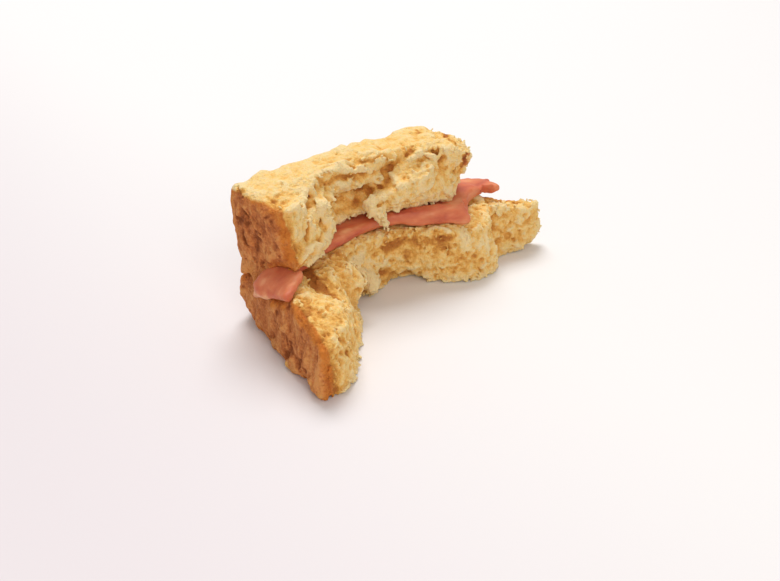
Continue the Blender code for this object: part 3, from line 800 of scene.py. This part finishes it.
def shape_bread(bread, field, surface):
    """Works a slice's crumb and crust into its field. Returns how brown each voxel is, with the painted
    shade and highlight of its forms.
    """
    seed = bread.seed
    rng = np.random.default_rng(seed)
    warp = [WARP[0] * field.noise(WARP[1], seed + k) for k in (1, 2, 3)]
    pinch_corner(field, bread.lying)
    x, y, z = field.coordinates()
    depth = bread.crust_depth(x, y, z)
    crust = ramp(depth, *CRUST_SHAPE) * before_end(x, bread.end)
    crumb = 1 - crust
    convex = field.blurred(field.d, EDGE_REACH)
    uneven = 1 + UNEVEN[0] * field.noise(UNEVEN[1], seed + 5)
    brown = work_forms(field, surface.tree, bread.forms, uneven, [FORM_WARP * w for w in warp])
    level = 0.0 if bread.lying else ramp(z, *TOP_LEVEL)
    shelf = level * ramp(depth, *TOP_BACK)
    rough = crumb * (1 - TOP_SMOOTH * level - BACK_SMOOTH * shelf)
    work_tufts(field, seed + TUFT_SEED, rough, bread.grain)
    relief = sum(share * field.noise(wave, seed + k) for k, (share, wave) in enumerate(CRUST_RELIEF, 6))
    field.d = field.d + crust * (1 - EDGE_SMOOTH * level) * relief
    work_flakes(field, surface, rng, warp, crumb * (1 - shelf), convex)
    work_pores(field, surface, rng, warp)
    work_pits(field, surface, rng, warp, brown, bread.end)
    if bread.lying:
        field.d = np.maximum(field.d, -z)
    else:
        brown = brown - CORNER_LIGHTER * ramp(corner_distance(x, y), *CORNER_PALE)
    return brown


def paint_bread(bread, field, surface, brown, piece, points):
    """Gives the mesh what its material needs to know of each place."""
    x, y, z = points.T
    to_crust = distances(surface.crust_tree, points)
    painted = field.sample(brown, points)
    intact = before_end(x, bread.end)
    crust = ramp(to_crust, *CRUST_COLOUR)
    warm = intact * ramp(to_crust, *CRUST_WARMTH)
    if not bread.lying:
        crust *= ramp(z, *TOP_COLOUR)
        warm *= ramp(z, *TOP_WARMTH)
    crust *= np.maximum(intact, np.clip(painted, 0, 1))
    pinched = ramp(corner_distance(x, y), *PINCH_END) * ramp(pinched_depth(x, y, z), *PINCH_DEPTH)
    pinched *= ramp(np.abs(z - PINCH_SEAM), *PINCH_SIDES)
    # The hollow measure darkens the colour in hollows as painted shade.
    near = field.sample(field.blurred(field.d, NEAR_HOLLOW[0]), points)
    wide = field.sample(field.blurred(field.d, WIDE_HOLLOW[0]), points)
    attribute(piece, "crust", np.maximum(crust, pinched))
    attribute(piece, "rim", ramp(distances(surface.crumb_tree, points), *CRUST_RIM))
    attribute(piece, "warm", warm)
    attribute(piece, "hollow_shade", -NEAR_HOLLOW[1] * near - WIDE_HOLLOW[1] * wide)
    attribute(piece, "brown", painted)
    attribute(piece, "tone", np.full(len(points), bread.tone))


def bread_piece(bread):
    field = Field(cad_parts[bread.node], STEP)
    surface = Surface(field, bread.crust_depth)
    brown = shape_bread(bread, field, surface)
    piece, points = field.mesh(bread.node + "_loaf")
    paint_bread(bread, field, surface, brown, piece, points)
    return piece


# Ham


def ham_piece(seed):
    field = Field(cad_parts["ham"], HAM_STEP)
    faces = [tuple(int(i) for i in face) for face in field.faces]
    tree = BVHTree.FromPolygons([Vector(p) for p in field.points], faces)
    warp = [HAM_WARP[0] * field.noise(HAM_WARP[1], seed + k) for k in (2, 3, 4)]
    brown = work_forms(field, tree, HAM_FORMS, 1.0, warp)
    field.d = field.d - HAM_SWELL
    for k, (share, wave) in enumerate(HAM_RELIEF):
        field.d = field.d + share * field.noise(wave, seed + k)
    piece, points = field.mesh("ham_slice")
    attribute(piece, "brown", field.sample(brown, points))
    return piece


# Materials


class Material:
    """A material, and the nodes that are added to it."""

    def __init__(self, name):
        self.data = bpy.data.materials.new(name)
        self.data.use_nodes = True
        self.nodes = self.data.node_tree.nodes
        self.links = self.data.node_tree.links
        self.shader = self.nodes["Principled BSDF"]

    def feed(self, socket, value):
        """Links a value to a socket, or sets it there where it is the same all over."""
        if isinstance(value, bpy.types.NodeSocket):
            self.links.new(value, socket)
        elif isinstance(value, tuple) and socket.type == "RGBA":
            socket.default_value = (*value, 1.0)
        else:
            socket.default_value = value

    def attribute(self, name):
        node = self.nodes.new("ShaderNodeAttribute")
        node.attribute_name = name
        return node.outputs["Fac"]

    def places(self, stretch=None):
        """Places on the object, each axis stretched as asked."""
        places = self.nodes.new("ShaderNodeTexCoord").outputs["Object"]
        if stretch is None:
            return places
        node = self.nodes.new("ShaderNodeMapping")
        node.inputs["Scale"].default_value = stretch
        self.links.new(places, node.inputs["Vector"])
        return node.outputs["Vector"]

    def noise(self, scale, detail, stretch=None):
        node = self.nodes.new("ShaderNodeTexNoise")
        node.inputs["Scale"].default_value = scale
        node.inputs["Detail"].default_value = detail
        self.links.new(self.places(stretch), node.inputs["Vector"])
        return node.outputs["Fac"]

    def cells(self, scale, smoothness=None):
        """Distances to the middles of random cells."""
        node = self.nodes.new("ShaderNodeTexVoronoi")
        node.inputs["Scale"].default_value = scale
        if smoothness is not None:
            node.feature = "SMOOTH_F1"
            node.inputs["Smoothness"].default_value = smoothness
        self.links.new(self.places(), node.inputs["Vector"])
        return node.outputs["Distance"]

    def weighted(self, *terms, offset=0.0):
        """The sum of values times their weights, and of an offset."""
        total = offset
        for value, weight in terms:
            node = self.nodes.new("ShaderNodeMath")
            node.operation = "MULTIPLY_ADD"
            for socket, source in zip(node.inputs, (value, weight, total)):
                self.feed(socket, source)
            total = node.outputs["Value"]
        return total

    def share(self, value, low, high):
        """0 where a value is low and 1 where it is high."""
        node = self.nodes.new("ShaderNodeMapRange")
        node.interpolation_type = "SMOOTHSTEP"
        node.inputs["From Min"].default_value = low
        node.inputs["From Max"].default_value = high
        self.links.new(value, node.inputs["Value"])
        return node.outputs["Result"]

    def colour(self, value, stops):
        node = self.nodes.new("ShaderNodeValToRGB")
        elements = node.color_ramp.elements
        while len(elements) < len(stops):
            elements.new(0.5)
        for element, (place, colour) in zip(elements, stops):
            element.position = place
            element.color = (*colour, 1.0)
        self.links.new(value, node.inputs["Fac"])
        return node.outputs["Color"]

    def mix(self, share, first, second):
        node = self.nodes.new("ShaderNodeMix")
        node.data_type = "RGBA"
        for name, value in (("Factor", share), ("A", first), ("B", second)):
            socket = next(s for s in node.inputs if s.name == name and s.enabled)
            self.feed(socket, value)
        return next(s for s in node.outputs if s.enabled)

    def soft(self, weight, radius):
        self.shader.inputs["Subsurface Weight"].default_value = weight
        self.shader.inputs["Subsurface Radius"].default_value = radius
        self.shader.inputs["Subsurface Scale"].default_value = 1.0

    def surface(self, colour, roughness, specular=0.5):
        self.links.new(colour, self.shader.inputs["Base Color"])
        self.shader.inputs["Roughness"].default_value = roughness
        self.shader.inputs["Specular IOR Level"].default_value = specular

    def bump(self, height, strength, distance):
        node = self.nodes.new("ShaderNodeBump")
        node.inputs["Strength"].default_value = strength
        node.inputs["Distance"].default_value = distance
        self.links.new(height, node.inputs["Height"])
        self.links.new(node.outputs["Normal"], self.shader.inputs["Normal"])


def bread_material():
    mat = Material("bread")
    hollow_shade = mat.attribute("hollow_shade")
    brown = mat.attribute("brown")
    broad = mat.noise(220.0, 3.0)
    medium = mat.noise(560.0, 3.0)
    fine = mat.noise(900.0, 3.0)
    grit = mat.noise(2200.0, 2.0)
    streaks = mat.noise(700.0, 3.0, (1.0, 1.0, 0.4))

    mottle = mat.weighted((broad, 0.35), (medium, 0.28), (grit, 0.34), (mat.cells(900.0, 0.4), -0.2))
    # The forms' column brings painted shade and highlight, and the lower slice's tone partly painted shade,
    # into golden.
    golden = mat.weighted((brown, 0.4), (mat.attribute("warm"), 0.55), (mat.attribute("tone"), 0.45))
    # The hollow measure darkens the crumb in hollows: painted shade.
    deep = mat.weighted((hollow_shade, 1.0), (mottle, 1.0), (golden, 1.0))
    crumb = mat.colour(mat.share(deep, *CRUMB_RANGE), CRUMB_STOPS)

    # The crust too is darker in hollows and under the forms' painted shade.
    dark = mat.weighted((hollow_shade, 0.9), (brown, 0.45))
    light = mat.weighted((streaks, 0.8), (broad, 0.6), (dark, -0.55), (grit, 0.6), offset=-0.48)
    baked = mat.colour(light, BAKED_STOPS)
    orange = mat.mix(mat.share(light, *ORANGE_RANGE), ORANGE_DARK, ORANGE_LIGHT)
    glow = mat.weighted((mat.attribute("rim"), 0.75), (brown, -0.6), (broad, 1.2), offset=-0.6)
    skin = mat.mix(mat.share(glow, *RIM_RANGE), baked, orange)
    crust = mat.weighted((mat.attribute("crust"), 1.0), (broad, 0.5), (fine, 0.5), offset=-0.5)

    mat.surface(mat.mix(mat.share(crust, *CRUST_RANGE), crumb, skin), 0.85, 0.15)
    mat.soft(0.2, (0.0008, 0.0005, 0.0002))
    height = mat.weighted((mat.noise(1500.0, 5.0), 1.0), (mat.cells(2300.0), -0.35))
    mat.bump(height, 1.0, 0.00045)
    return mat.data


def ham_material():
    mat = Material("ham")
    along = (0.35, 1.0, 1.6)
    streaks = mat.noise(420.0, 3.0, along)
    blotch = mat.noise(160.0, 2.0)
    # Painted shade darkens the ham under the slices and the flap, and painted highlight pales its fold.
    light = mat.weighted((streaks, 0.6), (blotch, 0.4), (mat.attribute("brown"), -0.2))
    mat.surface(mat.colour(light, HAM_STOPS), 0.45, 0.3)
    mat.soft(0.3, (0.0016, 0.0005, 0.0003))
    mat.bump(mat.noise(900.0, 3.0, along), 0.35, 0.0002)
    return mat.data


def floor_material():
    mat = Material("floor")
    split = mat.nodes.new("ShaderNodeSeparateXYZ")
    mat.links.new(mat.places(), split.inputs["Vector"])
    # Painted shade: the floor's colour darkens towards the left along X.
    mat.surface(mat.colour(mat.share(split.outputs["X"], *FLOOR_SPAN), FLOOR_STOPS), 0.7)
    return mat.data


# Stage


def add_floor():
    bpy.ops.mesh.primitive_plane_add(size=3.0, location=(0, 0, 0))
    floor = bpy.context.active_object
    floor.name = "floor"
    floor.data.materials.append(floor_material())


def add_light(name, place, size, power, colour=(1.0, 1.0, 1.0)):
    """A square light that looks at the sandwich."""
    light = bpy.data.lights.new(name, "AREA")
    light.energy = power
    light.size = size
    light.color = colour
    obj = bpy.data.objects.new(name, light)
    obj.location = place
    obj.rotation_euler = (Vector((0, 0, 0.01)) - Vector(place)).to_track_quat("-Z", "Y").to_euler()
    bpy.context.scene.collection.objects.link(obj)


def add_lights():
    add_light("softbox", place=(0.26, 0.44, 0.98), size=0.56, power=9.3)
    add_light("front", place=(-0.24, -0.50, 0.40), size=0.4, power=1.5, colour=(1.0, 0.95, 0.88))
    world = bpy.data.worlds.new("studio")
    bpy.context.scene.world = world
    world.use_nodes = True
    background = world.node_tree.nodes["Background"]
    background.inputs["Color"].default_value = (1.0, 0.93, 0.87, 1.0)
    background.inputs["Strength"].default_value = 0.43


def add_camera():
    camera = bpy.data.cameras.new("camera")
    camera.lens = LENS
    camera.sensor_width = SENSOR
    camera.clip_start = 0.005
    obj = bpy.data.objects.new("camera", camera)
    obj.location = Vector(EYE) * MM
    obj.rotation_euler = (math.pi / 2 - PITCH, 0.0, -HEADING)
    bpy.context.scene.collection.objects.link(obj)
    bpy.context.scene.camera = obj


def main():
    add_camera()
    add_lights()
    add_floor()
    bread_look = bread_material()
    for bread in SLICES:
        piece = bread_piece(bread)
        piece.data.materials.append(bread_look)
        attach(piece, "root")
        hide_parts(bread.node)
    ham = ham_piece(300)
    ham.data.materials.append(ham_material())
    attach(ham, "root")
    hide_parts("ham")
    bpy.context.scene.view_settings.view_transform = "Standard"


main()
